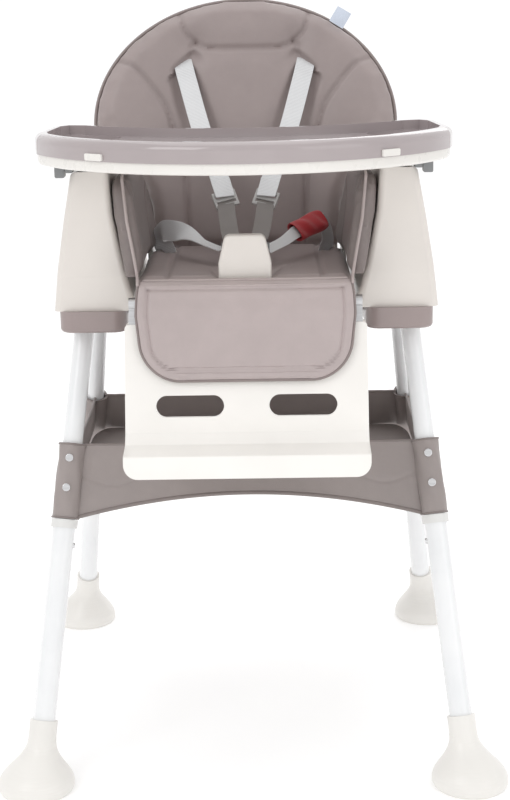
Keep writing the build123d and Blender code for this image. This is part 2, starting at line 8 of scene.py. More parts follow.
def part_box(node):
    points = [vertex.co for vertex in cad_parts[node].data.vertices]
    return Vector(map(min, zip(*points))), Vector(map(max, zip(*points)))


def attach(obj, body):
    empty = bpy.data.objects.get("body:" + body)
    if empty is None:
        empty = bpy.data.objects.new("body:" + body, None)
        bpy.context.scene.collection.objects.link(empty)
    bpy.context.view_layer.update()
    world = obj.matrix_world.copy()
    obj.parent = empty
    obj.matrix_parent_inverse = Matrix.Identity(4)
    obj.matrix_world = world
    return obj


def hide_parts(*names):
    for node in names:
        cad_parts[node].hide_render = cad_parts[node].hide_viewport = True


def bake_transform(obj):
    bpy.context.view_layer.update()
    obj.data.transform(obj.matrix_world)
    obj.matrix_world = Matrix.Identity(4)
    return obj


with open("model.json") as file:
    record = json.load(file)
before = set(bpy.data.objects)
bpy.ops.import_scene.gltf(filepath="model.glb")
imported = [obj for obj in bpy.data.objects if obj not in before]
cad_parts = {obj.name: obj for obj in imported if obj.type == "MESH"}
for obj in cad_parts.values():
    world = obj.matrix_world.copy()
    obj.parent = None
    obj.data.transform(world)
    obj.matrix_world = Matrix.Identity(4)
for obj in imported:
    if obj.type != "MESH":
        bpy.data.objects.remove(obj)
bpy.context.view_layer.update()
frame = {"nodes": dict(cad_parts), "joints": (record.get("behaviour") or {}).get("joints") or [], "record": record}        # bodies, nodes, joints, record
nodes = frame["nodes"]
jointList = {j["name"]: j for j in frame["joints"]}
print("frame loaded,", len(nodes), "nodes")


# shader helpers: sockets that can be added and multiplied, and one way to make any node

class Sock:
    def __init__(self, mat, socket):
        self.mat, self.socket = mat, socket

    def maths(self, operation, first, second=None):
        return self.mat.node("ShaderNodeMath", {"operation": operation}, {0: first, 1: second})

    def __add__(self, other):
        return self.maths("ADD", self, other)

    def __mul__(self, other):
        return self.maths("MULTIPLY", self, other)

    def __sub__(self, other):
        return self.maths("SUBTRACT", self, other)

    def __rsub__(self, other):
        return self.maths("SUBTRACT", other, self)

    __radd__ = __add__
    __rmul__ = __mul__


class Finish:
    def __init__(self, name):
        self.material = bpy.data.materials.new(name)
        self.material.use_nodes = True
        self.tree = self.material.node_tree
        self.shader = self.tree.nodes["Principled BSDF"]

    def link(self, node, sockets):
        for key, value in sockets.items():
            if value is None:
                continue
            if isinstance(value, Sock):
                self.tree.links.new(value.socket, node.inputs[key])
            else:
                node.inputs[key].default_value = value

    def node(self, kind, settings=None, sockets=None, out=0):
        made = self.tree.nodes.new(kind)
        for key, value in (settings or {}).items():
            if key == "stops":
                for stop, (place, shade) in zip(made.color_ramp.elements, value):
                    stop.position = place
                    stop.color = shade
            else:
                setattr(made, key, value)
        self.link(made, sockets or {})
        return Sock(self, made.outputs[out])

    def set(self, **sockets):
        self.link(self.shader, {key.replace("_", " "): value for key, value in sockets.items()})
        return self

    def place(self):
        return self.node("ShaderNodeTexCoord", out="Object")

    def noise(self, scale, detail=3.0, roughness=0.5, vector=None):
        return self.node("ShaderNodeTexNoise", {}, {"Vector": vector or self.place(), "Scale": scale,
                                                   "Detail": detail, "Roughness": roughness})

    def ramp(self, value, low, high, lowAt=0.3, highAt=0.7):
        return self.node("ShaderNodeValToRGB", {"stops": ((lowAt, low), (highAt, high))}, {"Fac": value})

    def mix(self, factor, first, second):
        return self.node("ShaderNodeMix", {"data_type": "RGBA"}, {0: factor, 6: first, 7: second}, out=2)

    def bump(self, height, strength, distance, under=None):
        return self.node("ShaderNodeBump", {}, {"Height": height, "Strength": strength,
                                                "Distance": distance, "Normal": under})


def shade(colour, factor):
    return tuple(min(1.0, c * factor) for c in colour[:3]) + (1.0,)


# finishes

plasticLook = {"white": (0.87, 0.845, 0.81), "foot": (0.81, 0.79, 0.755),
               # panel is the cream plastic made darker and warmer: painted shade from the tray above the side panels
               "panel": (0.715, 0.672, 0.632), "trayBase": (0.79, 0.765, 0.73), "taupe": (0.385, 0.335, 0.338),
               "hub": (0.32, 0.26, 0.252), "grey": (0.24, 0.245, 0.25), "ring": (0.74, 0.735, 0.72)}


def mouldedPlastic(name, colour, roughness, coat=0.0, grain=0.12):
    # moulded surface: very slight waviness, fine spark-eroded grain and a few rubbed patches
    fin = Finish(name)
    cloud = fin.noise(9.0, 4.0)
    tone = fin.ramp(cloud, shade(colour, 0.955), shade(colour, 1.03))
    rub = fin.noise(38.0, 6.0, 0.65)
    rough = rub * 0.10 + (roughness - 0.05)
    fine = fin.noise(900.0, 2.0)
    ripple = fin.noise(26.0, 2.0)
    relief = fin.bump(fine, grain, 0.0002, fin.bump(ripple, 0.05, 0.004))
    fin.set(Base_Color=tone, Roughness=rough, Normal=relief)
    fin.set(Coat_Weight=coat, Coat_Roughness=0.06, IOR=1.49)
    return fin.material


def paintedTube():
    fin = Finish("legEnamel")
    cloud = fin.noise(14.0, 3.0)
    tone = fin.ramp(cloud, (0.80, 0.81, 0.82, 1), (0.86, 0.865, 0.87, 1))
    peel = fin.noise(420.0, 2.0)
    fin.set(Base_Color=tone, Roughness=fin.noise(60.0, 5.0) * 0.12 + 0.16, Normal=fin.bump(peel, 0.10, 0.0003))
    fin.set(Coat_Weight=0.6, Coat_Roughness=0.05)
    return fin.material


def metal(name, colour, roughness, brushed):
    fin = Finish(name)
    stretch = fin.node("ShaderNodeMapping", {}, {"Vector": fin.place(), "Scale": (6.0, 420.0, 420.0)}, out=0)
    lines = fin.noise(3.0, 4.0, 0.6, stretch)
    tone = fin.ramp(lines, shade(colour, 0.86), shade(colour, 1.08))
    fin.set(Base_Color=tone, Metallic=1.0, Roughness=lines * brushed + roughness,
            Normal=fin.bump(lines, 0.08, 0.0002))
    return fin.material


leatherLook = {"colour": (0.335, 0.278, 0.270), "grainScale": 620.0, "creaseScale": 46.0, "roughness": 0.44}


def leatherette(name, colour, roughness, crease=0.22):
    # coated cloth: pebbled grain made of cells and softer creases; its colour follows the crease relief, with painted
    # shade in the crease valleys and painted highlight on the ridges
    fin = Finish(name)
    where = fin.place()
    cells = fin.node("ShaderNodeTexVoronoi", {"feature": "DISTANCE_TO_EDGE"},
                     {"Vector": where, "Scale": leatherLook["grainScale"]}, out=0)
    pebble = fin.ramp(cells, (0, 0, 0, 1), (1, 1, 1, 1), 0.0, 0.22)
    crinkle = fin.noise(leatherLook["creaseScale"], 6.0, 0.62, where)
    cloud = fin.noise(7.0, 3.0, 0.5, where)
    tone = fin.ramp(cloud, shade(colour, 0.93), shade(colour, 1.08))
    # painted shade and highlight: the crease height darkens the valleys and lightens the ridges
    tone = fin.mix(0.16, tone, fin.ramp(crinkle, shade(colour, 0.78), shade(colour, 1.16)))
    relief = fin.bump(pebble, 0.16, 0.0003, fin.bump(crinkle, crease, 0.0016))
    fin.set(Base_Color=tone, Roughness=crinkle * 0.18 + (roughness - 0.09), Normal=relief)
    fin.set(Sheen_Weight=0.08, Sheen_Roughness=0.4, Coat_Weight=0.06, Coat_Roughness=0.3)
    return fin.material


def wovenTape(name, colour, ribs=(2400.0, 900.0), roughness=0.55):
    # narrow webbing: crossing ribs read from the piece's own UV map, in metres
    fin = Finish(name)
    uv = fin.node("ShaderNodeTexCoord", out="UV")
    warp = fin.node("ShaderNodeTexWave", {"bands_direction": "X"},
                    {"Vector": uv, "Scale": ribs[0] / 6.28, "Distortion": 0.4})
    weft = fin.node("ShaderNodeTexWave", {"bands_direction": "Y"},
                    {"Vector": uv, "Scale": ribs[1] / 6.28, "Distortion": 0.6})
    weave = warp * 0.5 + weft * 0.5
    tone = fin.ramp(weave, shade(colour, 0.78), shade(colour, 1.12))
    cloud = fin.noise(30.0, 3.0)
    tone = fin.mix(0.25, tone, fin.ramp(cloud, shade(colour, 0.88), shade(colour, 1.08)))
    fin.set(Base_Color=tone, Roughness=weave * 0.15 + (roughness - 0.07), Normal=fin.bump(weave, 0.5, 0.0004))
    fin.set(Sheen_Weight=0.25, Sheen_Roughness=0.35)
    return fin.material


white = mouldedPlastic("creamPlastic", plasticLook["white"], 0.30, 0.25)
# painted shade: a darker copy of the cream plastic for the mouldings under the tray
shadedPanelPlastic = mouldedPlastic("panelCreamShaded", plasticLook["panel"], 0.34, 0.15)
trayBasePlastic = mouldedPlastic("trayCream", plasticLook["trayBase"], 0.28, 0.3)
footPlastic = mouldedPlastic("bootPlastic", plasticLook["foot"], 0.36, 0.1)
trayPlastic = mouldedPlastic("trayTaupe", plasticLook["taupe"], 0.17, 0.8, 0.04)
hubPlastic = mouldedPlastic("hubTaupe", plasticLook["hub"], 0.33, 0.2)
greyPlastic = mouldedPlastic("fittingGrey", plasticLook["grey"], 0.36)
sliderPlastic = mouldedPlastic("sliderGrey", (0.44, 0.43, 0.42), 0.30)
ringPlastic = mouldedPlastic("ringPlastic", plasticLook["ring"], 0.42)
enamel = paintedTube()
steel = metal("zincSteel", (0.62, 0.62, 0.63), 0.22, 0.25)
nickel = metal("snapNickel", (0.74, 0.74, 0.75), 0.10, 0.12)
redPlastic = mouldedPlastic("buttonRed", (0.52, 0.035, 0.03), 0.28, 0.3)
coverSkin = leatherette("coverLeatherette", leatherLook["colour"], leatherLook["roughness"])
flapSkin = leatherette("flapLeatherette", (0.450, 0.382, 0.375), 0.5)
wingSkin = leatherette("wingLeatherette", (0.215, 0.18, 0.173), 0.5, 0.4)
pipingSkin = leatherette("pipingLeatherette", (0.25, 0.205, 0.197), 0.42, 0.1)
basketSkin = leatherette("basketLeatherette", (0.305, 0.265, 0.254), 0.5, 0.3)
edgeSkin = leatherette("edgeLeatherette", (0.43, 0.365, 0.355), 0.42, 0.1)
bindingSkin = leatherette("bindingLeatherette", (0.225, 0.19, 0.18), 0.5, 0.1)
silverTape = wovenTape("harnessSilver", (0.72, 0.725, 0.735))
# painted shadow: the harness webbing darkened for the waist straps below the sliders
shadowedTape = wovenTape("harnessSilverShadowed", (0.20, 0.18, 0.17))
redTape = wovenTape("sleeveRed", (0.42, 0.014, 0.02), (1400.0, 1400.0), 0.6)
tagTape = wovenTape("tagCloth", (0.66, 0.72, 0.83), (2400.0, 2400.0), 0.5)

slotFinish = {"white_plastic": white, "foot_plastic": footPlastic, "taupe_plastic": trayPlastic,
              "hub_plastic": hubPlastic, "leg_paint": enamel, "ring_plastic": ringPlastic,
              "leatherette": coverSkin, "basket_cloth": basketSkin, "webbing": silverTape,
              "grey_plastic": greyPlastic, "handle_plastic": hubPlastic, "button_red": redPlastic,
              "red_sleeve": redTape, "tag_cloth": tagTape, "steel": steel, "snap_metal": nickel}


# large mouldings in darker copies of the cream plastic: the side panels and crotch post carry painted shade from the
# tray above them, and the tray base, back shell and clips are a little darker than the step
nodeFinish = {"side_panel_left": shadedPanelPlastic, "side_panel_right": shadedPanelPlastic, "crotch_post": shadedPanelPlastic,
              "tray_base": trayBasePlastic, "back_shell": trayBasePlastic, "tray_clips": trayBasePlastic}


def dressCadNodes():
    for row in frame["record"]["subparts"]:
        piece = nodes[row["node"]]
        piece.data.materials.clear()
        piece.data.materials.append(nodeFinish.get(row["node"], slotFinish[row["material_slot"]]))


dressCadNodes()
print("finishes made and put on the CAD pieces")


# camera, floor and light

cameraSet = {"place": (0.025, -2.069, 0.941), "pitch": 14.12, "yaw": 0.7, "roll": 1.0, "lens": 71.15,
             "shiftX": 0.0075, "shiftY": 0.003}


def addCamera():
    bpy.ops.object.camera_add(location=cameraSet["place"])
    camera = bpy.context.object
    tilt = Matrix.Rotation(math.radians(90 - cameraSet["pitch"]), 4, "X")
    roll = Matrix.Rotation(math.radians(-cameraSet["roll"]), 4, "Z")
    yaw = Matrix.Rotation(math.radians(cameraSet["yaw"]), 4, "Z")
    camera.matrix_world = Matrix.Translation(cameraSet["place"]) @ yaw @ tilt @ roll
    camera.data.lens = cameraSet["lens"]
    camera.data.sensor_width = 36.0
    camera.data.shift_x = cameraSet["shiftX"]
    camera.data.shift_y = cameraSet["shiftY"]
    bpy.context.scene.camera = camera


def addStage():
    bpy.ops.object.select_all(action="DESELECT")
    bpy.ops.mesh.primitive_plane_add(size=30, location=(0, -6.0, 0))
    floor = bpy.context.object
    floor.name = "studioFloor"
    bpy.ops.object.mode_set(mode="EDIT")
    bpy.ops.mesh.select_all(action="DESELECT")
    bpy.ops.object.mode_set(mode="OBJECT")
    for edge in floor.data.edges:
        ends = [floor.data.vertices[i].co.y for i in edge.vertices]
        edge.select = min(ends) > 0
    bpy.ops.object.mode_set(mode="EDIT")
    bpy.ops.mesh.select_mode(type="EDGE")
    bpy.ops.mesh.extrude_region_move(TRANSFORM_OT_translate={"value": (0, 0, 14)})
    bpy.ops.mesh.select_all(action="SELECT")
    bpy.ops.object.mode_set(mode="OBJECT")
    bevel = floor.modifiers.new("sweep", "BEVEL")
    bevel.width = 2.5
    bevel.segments = 24
    bpy.ops.object.modifier_apply(modifier="sweep")
    bpy.ops.object.shade_smooth()
    paper = Finish("studioPaper")
    tone = paper.ramp(paper.noise(0.6, 2.0), (0.92, 0.92, 0.92, 1), (0.95, 0.95, 0.95, 1))
    paper.set(Base_Color=tone, Roughness=0.9)
    paper.set(Emission_Color=(1.0, 1.0, 1.0, 1.0), Emission_Strength=0.16)
    floor.data.materials.append(paper.material)


lightSet = (("key", (-1.9, -2.6, 2.7), 1.7, 19.0), ("fill", (2.3, -2.3, 1.5), 2.0, 8.0),
            ("top", (0.0, 0.2, 3.2), 2.4, 13.0), ("rim", (0.9, 2.4, 2.2), 1.6, 9.0),
            ("low", (0.0, -3.0, 0.35), 1.6, 2.0))


def addLights():
    for name, place, size, watts in lightSet:
        bpy.ops.object.light_add(type="AREA", location=place)
        lamp = bpy.context.object
        lamp.name = name + "Light"
        lamp.data.size = size
        lamp.data.energy = watts
        aim = Vector((0, 0, 0.5)) - Vector(place)
        lamp.rotation_euler = aim.to_track_quat("-Z", "Y").to_euler()
    world = bpy.data.worlds.new("studio")
    bpy.context.scene.world = world
    world.use_nodes = True
    sky = world.node_tree.nodes["Background"]
    sky.inputs["Color"].default_value = (1.0, 1.0, 1.0, 1.0)
    sky.inputs["Strength"].default_value = 0.88


bpy.context.scene.view_settings.view_transform = "Standard"
addCamera()
addStage()
addLights()
print("camera, floor and lights set")


# modelling helpers

def activate(piece):
    bpy.ops.object.select_all(action="DESELECT")
    piece.select_set(True)
    bpy.context.view_layer.objects.active = piece


def applied(piece, kind, **settings):
    activate(piece)
    modifier = piece.modifiers.new("step", kind)
    for key, value in settings.items():
        setattr(modifier, key, value)
    bpy.ops.object.modifier_apply(modifier=modifier.name)


def readPoints(piece):
    flat = np.empty(len(piece.data.vertices) * 3)
    piece.data.vertices.foreach_get("co", flat)
    return flat.reshape(-1, 3)


def writePoints(piece, points):
    piece.data.vertices.foreach_set("co", np.ascontiguousarray(points, dtype=float).ravel())
    piece.data.update()


def gridPiece(name, across, along, place, closed=False):
    # a flat grid, then every vertex is carried to its place: u runs -1..1 across, v 0..1 along
    bpy.ops.object.select_all(action="DESELECT")
    bpy.ops.mesh.primitive_grid_add(x_subdivisions=across, y_subdivisions=along, size=2)
    piece = bpy.context.object
    piece.name = name
    for vertex in piece.data.vertices:
        vertex.co = place(vertex.co.x, (vertex.co.y + 1) / 2)
    if closed:
        bpy.ops.object.mode_set(mode="EDIT")
        bpy.ops.mesh.select_all(action="SELECT")
        bpy.ops.mesh.remove_doubles(threshold=0.0002)
        bpy.ops.object.mode_set(mode="OBJECT")
    return piece


def outward(piece):
    activate(piece)
    bpy.ops.object.mode_set(mode="EDIT")
    bpy.ops.mesh.select_all(action="SELECT")
    bpy.ops.mesh.normals_make_consistent(inside=False)
    bpy.ops.object.mode_set(mode="OBJECT")


def finished(piece, finish, slotName, *replaced, angle=60):
    outward(piece)
    bpy.ops.object.shade_smooth_by_angle(angle=math.radians(angle))
    piece.data.materials.clear()
    piece.data.materials.append(finish)
    if replaced:
        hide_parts(*replaced)
    return piece


def inflated(piece, voxel, pressure, cap, facing, slip=0.0012, smooth=2):
    # remesh, swell with air pressure in a short cloth run; a point may rise by the cap and slip sideways a little
    if voxel:
        applied(piece, "REMESH", mode="VOXEL", voxel_size=voxel)
    start = readPoints(piece)
    cloth = piece.modifiers.new("swell", "CLOTH")
    cloth.settings.quality = 5
    cloth.settings.mass = 0.2
    cloth.settings.tension_stiffness = 20
    cloth.settings.compression_stiffness = 20
    cloth.settings.bending_stiffness = 0.8
    cloth.settings.use_pressure = True
    cloth.settings.uniform_pressure_force = pressure
    cloth.settings.effector_weights.gravity = 0
    cloth.point_cache.frame_start = 1
    cloth.point_cache.frame_end = 20
    for step in range(1, 21):
        bpy.context.scene.frame_set(step)
    activate(piece)
    bpy.ops.object.modifier_apply(modifier="swell")
    bpy.context.scene.frame_set(1)
    move = readPoints(piece) - start
    axis = np.array(Vector(facing).normalized())
    rise = move @ axis
    slide = move - rise[:, None] * axis
    length = np.linalg.norm(slide, axis=1, keepdims=True)
    slide *= np.minimum(1, slip / np.maximum(length, 1e-9))
    writePoints(piece, start + np.clip(rise, -cap, cap)[:, None] * axis + slide)
    if smooth:
        applied(piece, "SMOOTH", iterations=smooth, factor=0.5)
    applied(piece, "SUBSURF", levels=1, render_levels=1)
    return piece


def seamDistance(flat, path):
    # shortest distance from flat points (n, 2) to a polyline
    best = np.full(len(flat), 9.0)
    for first, second in zip(path, path[1:]):
        a, b = np.array(first), np.array(second)
        run = b - a
        t = np.clip(((flat - a) @ run) / max(run @ run, 1e-12), 0, 1)
        best = np.minimum(best, np.linalg.norm(flat - (a + t[:, None] * run), axis=1))
    return best


def smoothPath(points, count=24):
    # Catmull-Rom through the given points
    pts = [Vector(p) for p in points]
    pts = [2 * pts[0] - pts[1]] + pts + [2 * pts[-1] - pts[-2]]
    out = []
    spans = len(pts) - 3
    for k in range(count * spans + 1):
        i = min(k // count, spans - 1)
        t = k / count - i
        p0, p1, p2, p3 = pts[i:i + 4]
        out.append(0.5 * (2 * p1 + (p2 - p0) * t + (2 * p0 - 5 * p1 + 4 * p2 - p3) * t * t
                          + (3 * p1 - p0 - 3 * p2 + p3) * t ** 3))
    return out


def between(table, x):
    # straight interpolation in a short list of (place, value)
    if x <= table[0][0]:
        return table[0][1]
    for (x0, y0), (x1, y1) in zip(table, table[1:]):
        if x <= x1:
            return y0 + (y1 - y0) * (x - x0) / (x1 - x0)
    return table[-1][1]


def tube(name, points, radius, finish, slotName, cyclic=False, sides=2):
    # a piping cord: a bevelled curve turned into a mesh
    curve = bpy.data.curves.new(name, "CURVE")
    curve.dimensions = "3D"
    line = curve.splines.new("POLY")
    line.points.add(len(points) - 1)
    for spot, place in zip(line.points, points):
        spot.co = (*place, 1.0)
    line.use_cyclic_u = cyclic
    curve.bevel_depth = radius
    curve.bevel_resolution = sides
    curve.use_fill_caps = True
    piece = bpy.data.objects.new(name, curve)
    bpy.context.scene.collection.objects.link(piece)
    activate(piece)
    bpy.ops.object.convert(target="MESH")
    return finished(bpy.context.object, finish, slotName)


# backrest: places on it are x across, s up along it from the hinge, t forward of it

hinge = Vector(jointList["backrest_recline"]["pos_m"])
backLean = math.atan2(jointList["recline_handle_lift"]["axis"][1], jointList["recline_handle_lift"]["axis"][2])
backUp = Vector((0, math.sin(backLean), math.cos(backLean)))
backOut = Vector((0, -math.cos(backLean), math.sin(backLean)))
backTop = (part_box("back_cushion")[1].z - hinge.z - 0.032 * backOut.z) / backUp.z


def onBack(x, s, t):
    return hinge + Vector((x, 0, 0)) + backUp * s + backOut * t


def backFrame(points):
    # world points to (x, s, t)
    rel = points - np.array(hinge)
    return np.column_stack([points[:, 0], rel @ np.array(backUp), rel @ np.array(backOut)])


def fromBack(local):
    return (np.array(hinge) + local[:, :1] * np.array([1.0, 0, 0]) + local[:, 1:2] * np.array(backUp)
            + local[:, 2:3] * np.array(backOut))


backPad = {"halfWidth": 0.2035, "wideAt": 0.175,
           "waist": [(0.0, 0.1255), (0.05, 0.1275), (0.08, 0.1340), (0.105, 0.1440), (0.135, 0.1640), (0.158, 0.1880),
                     (0.170, 0.2010), (0.175, 0.2035)],
           "bottom": 0.004, "back": 0.0045, "front": 0.025,
           "voxel": 0.0055, "pressure": 4.0, "cap": 0.009, "groove": 0.0042, "grooveWidth": 0.0030, "puff": 0.0035}


def backHalfWidth(s, shrink=0.0):
    wide = backPad["halfWidth"] - shrink
    rise = backTop - backPad["wideAt"] - shrink
    if s >= backPad["wideAt"]:
        return wide * math.sqrt(max(0.0, 1 - ((s - backPad["wideAt"]) / rise) ** 2))
    return between(backPad["waist"], s) - shrink


def backSeams():
    seams = []
    bib = [(-0.092, backTop), (-0.087, 0.319), (-0.079, 0.296), (-0.062, 0.281), (-0.045, 0.2748), (0, 0.274)]
    bib = [tuple(p[:2]) for p in smoothPath([(*p, 0) for p in bib], 8)]
    seams.append(bib + [(-x, s) for x, s in reversed(bib)])
    for side in (-1, 1):
        bow = [(0.186, 0.265), (0.167, 0.259), (0.146, 0.248), (0.124, 0.222), (0.106, 0.194), (0.097, 0.166),
               (0.087, 0.132), (0.081, 0.100), (0.079, 0.010)]
        seams.append([(side * p.x, p.y) for p in smoothPath([(*p, 0) for p in bow], 8)])
        # from the slanted strap opening up to the bib
        seams.append([(side * 0.0715, 0.2775), (side * 0.066, 0.2830)])
    return seams


def addBackPad():
    def place(u, v):
        s = backPad["bottom"] + (backTop - 0.002 - backPad["bottom"]) * math.sin(v * math.pi / 2)
        return onBack(u * (backHalfWidth(s, 0.0005) + 0.0004), s, backPad["back"])
    pad = gridPiece("back_pad", 60, 60, place)
    applied(pad, "SOLIDIFY", thickness=backPad["front"] - backPad["back"], offset=-1.0)
    local = backFrame(readPoints(pad))
    if local[:, 2].min() < 0:
        local[:, 2] = 2 * backPad["back"] - local[:, 2]
        writePoints(pad, fromBack(local))
    inflated(pad, backPad["voxel"], backPad["pressure"], backPad["cap"], backOut)
    local = backFrame(readPoints(pad))
    front = np.clip((local[:, 2] - 0.012) / 0.012, 0, 1)
    for path in backSeams():
        d = seamDistance(local[:, :2], path)
        local[:, 2] -= front * (backPad["groove"] * np.exp(-(d / backPad["grooveWidth"]) ** 2)
                                + backPad["puff"] * np.exp(-(d / 0.016) ** 2))
    # each shoulder strap comes out under a slanted lip and lies in a channel below it
    for side in (-1, 1):
        x, s = local[:, 0] * side, local[:, 1]
        below = -((x - 0.0835) + (s - 0.2590)) * 0.7071
        along = ((x - 0.0835) - (s - 0.2590)) * 0.7071
        lip = 1 / (1 + np.exp(-below / 0.0009)) * np.exp(-(along / 0.021) ** 8)
        beside = x - (0.0835 - (0.2590 - s) * 0.30)
        channel = np.exp(-((beside - 0.006) / 0.021) ** 6) * np.clip((s - 0.12) / 0.10, 0, 1) * (below > 0)
        depth = np.where(below > 0.004, np.maximum(channel, lip * np.exp(-(below / 0.02) ** 2)), lip)
        local[:, 2] -= front * 0.0095 * depth
    local[:, 2] = np.clip(local[:, 2], 0.0023, 0.0405)
    writePoints(pad, fromBack(local))
    finished(pad, coverSkin, "leatherette", "back_cushion")
    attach(pad, "backrest")
    return pad


def addBackPiping():
    steps = 150
    line = []
    for k in range(steps + 1):
        angle = math.pi * k / steps
        x = (backPad["halfWidth"] + 0.0012) * math.cos(angle)
        s = backPad["wideAt"] + (backTop - backPad["wideAt"] + 0.0006) * math.sin(angle)
        line.append(onBack(x, s, 0.0125))
    right = [onBack(backHalfWidth(0.010 + 0.160 * k / 30) + 0.001, 0.010 + 0.160 * k / 30, 0.0125) for k in range(31)]
    left = [Vector((-p.x, p.y, p.z)) for p in reversed(right)]
    cord = tube("back_piping", right + line + left, 0.0024, pipingSkin, "leatherette")
    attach(cord, "backrest")


addBackPad()
addBackPiping()
print("back cushion swelled and seamed")


# seat: pad, side wings, calf flap

seatPad = {"halfWidth": 0.1350, "front": -0.199, "rear": 0.076, "low": 0.6035, "high": 0.6195, "cap": 0.006,
           "groove": 0.003, "seamX": 0.094}
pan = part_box("seat_cushion")[0].z - 0.0003


def addSeatPad():
    def place(u, v):
        y = seatPad["front"] + 0.003 + (seatPad["rear"] - seatPad["front"] - 0.006) * v
        corner = max(0.0, (v - 0.86) / 0.14)
        return Vector((u * (seatPad["halfWidth"] - 0.003 - 0.024 * corner * corner), y, seatPad["low"]))
    pad = gridPiece("seat_pad", 48, 48, place)
    applied(pad, "SOLIDIFY", thickness=seatPad["high"] - seatPad["low"], offset=1.0)
    points = readPoints(pad)
    if points[:, 2].min() < seatPad["low"] - 0.002:
        points[:, 2] = 2 * seatPad["low"] - points[:, 2]
        writePoints(pad, points)
    inflated(pad, 0.0052, 4.0, seatPad["cap"], (0, 0, 1))
    points = readPoints(pad)
    top = np.clip((points[:, 2] - 0.612) / 0.006, 0, 1)
    for side in (-1, 1):
        # side channel seams, the lap strap slots and the dimple that the strap pulls
        d = np.abs(points[:, 0] - side * seatPad["seamX"])
        points[:, 2] -= top * seatPad["groove"] * np.exp(-(d / 0.0028) ** 2)
        slot = np.exp(-((points[:, 0] - side * 0.104) / 0.007) ** 4 - ((points[:, 1] - 0.029) / 0.020) ** 4)
        points[:, 2] -= top * 0.007 * slot
        crease = np.abs(points[:, 0] - side * 0.036 - side * (points[:, 1] + 0.16) * 0.25)
        fade = np.clip(1 - (points[:, 1] + 0.165) / 0.05, 0, 1)
        points[:, 2] -= top * 0.0022 * fade * np.exp(-(crease / 0.003) ** 2)
    post = np.exp(-(points[:, 0] / 0.040) ** 6 - ((points[:, 1] + 0.172) / 0.026) ** 4)
    points[:, 2] -= top * 0.0035 * post
    crotch = np.exp(-(points[:, 0] / 0.019) ** 6 - ((points[:, 1] + 0.113) / 0.008) ** 4)
    points[:, 2] -= top * 0.006 * crotch
    points[:, 2] = np.maximum(points[:, 2], pan + 0.0003)
    writePoints(pad, points)
    finished(pad, coverSkin, "leatherette", "seat_cushion")
    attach(pad, "chair_base")


# the wing stands between the seat and the side panel; its front edge runs forward to the flap
wing = {"low": 0.6225, "high": 0.7445, "rear": 0.078, "frontLow": -0.2035, "frontHigh": -0.150, "thick": 0.0200,
        "thickFoot": 0.0150, "cap": 0.0045,
        "lean": [(0.6, 0.1315), (0.624, 0.1320), (0.690, 0.1455), (0.745, 0.1515)],
        "room": [(0.6, 0.1415), (0.629, 0.1455), (0.695, 0.1585), (0.748, 0.1625)]}


def wingFront(z):
    t = (z - wing["low"]) / (wing["high"] - wing["low"])
    return wing["frontLow"] + (wing["frontHigh"] - wing["frontLow"]) * min(1, max(0, t)) ** 0.62


def addWing(side, name):
    def place(u, v):
        z = wing["low"] + 0.002 + (wing["high"] - wing["low"] - 0.006) * v
        front = wingFront(z) + 0.003 + 0.016 * max(0.0, (v - 0.86) / 0.14) ** 2
        rear = wing["rear"] - 0.004 - 0.055 * max(0.0, (v - 0.55) / 0.45) ** 2
        y = front + (rear - front) * (u + 1) / 2
        tuckIn = 0.007 * max(0.0, u) ** 2
        return Vector((side * (between(wing["lean"], z) - tuckIn), y, z))
    pad = gridPiece(name, 52, 28, place)
    # thicker at the top of the front edge, thin at its foot
    applied(pad, "SOLIDIFY", thickness=0.010, offset=0)
    points = readPoints(pad)
    inset = 0.007 * np.clip((points[:, 1] + 0.04) / 0.115, 0, 1) ** 2
    centre = np.array([side * between(wing["lean"], z) for z in points[:, 2]]) - side * inset
    up = np.clip((points[:, 2] - wing["low"]) / (wing["high"] - wing["low"]), 0, 1)
    depth = wing["thickFoot"] + (wing["thick"] - wing["thickFoot"]) * np.clip(up * 1.8, 0, 1)
    ahead = np.clip(1 - (points[:, 1] - np.array([wingFront(z) for z in points[:, 2]])) / 0.07, 0, 1)
    depth = depth * (0.72 + 0.28 * ahead)
    points[:, 0] = centre + (points[:, 0] - centre) * depth / 0.010
    writePoints(pad, points)
    inflated(pad, 0.0045, 4.0, wing["cap"], (1, 0, 0))
    points = readPoints(pad)
    middle = np.array([side * between(wing["lean"], z) for z in points[:, 2]])
    inner = np.clip(-(points[:, 0] - middle) * side / 0.004, 0, 1)
    edge = np.abs(points[:, 1] - np.array([wingFront(z) + 0.016 for z in points[:, 2]]))
    points[:, 0] += side * inner * 0.0022 * np.exp(-(edge / 0.0026) ** 2)
    tuck = np.abs(points[:, 1] - (0.005 + (points[:, 2] - 0.68) * 0.5))
    points[:, 0] += side * inner * 0.0020 * np.exp(-(tuck / 0.004) ** 2)
    # never thicker than the room beside the panel
    limit = np.array([between(wing["room"], z) for z in points[:, 2]])
    points[:, 0] = side * np.minimum(np.abs(points[:, 0]), limit)
    points[:, 2] = np.maximum(points[:, 2], 0.6215)
    writePoints(pad, points)
    finished(pad, wingSkin, "leatherette", "side_wings")
    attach(pad, "chair_base")
    # piping along the front edge
    line = []
    for k in range(40):
        z = 0.6175 + (wing["high"] - 0.006 - 0.6175) * k / 39
        y = wingFront(z) - 0.0012 - 0.002 * (k < 3)
        line.append(Vector((side * (between(wing["lean"], z) - 0.0035), y, z)))
    top = line[-1]
    line += [top + Vector((0, 0.006, 0.0042)), top + Vector((0, 0.020, 0.0058)), top + Vector((0, 0.050, 0.0060))]
    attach(tube(name + "_piping", smoothPath(line, 3), 0.0019, edgeSkin, "leatherette"), "chair_base")


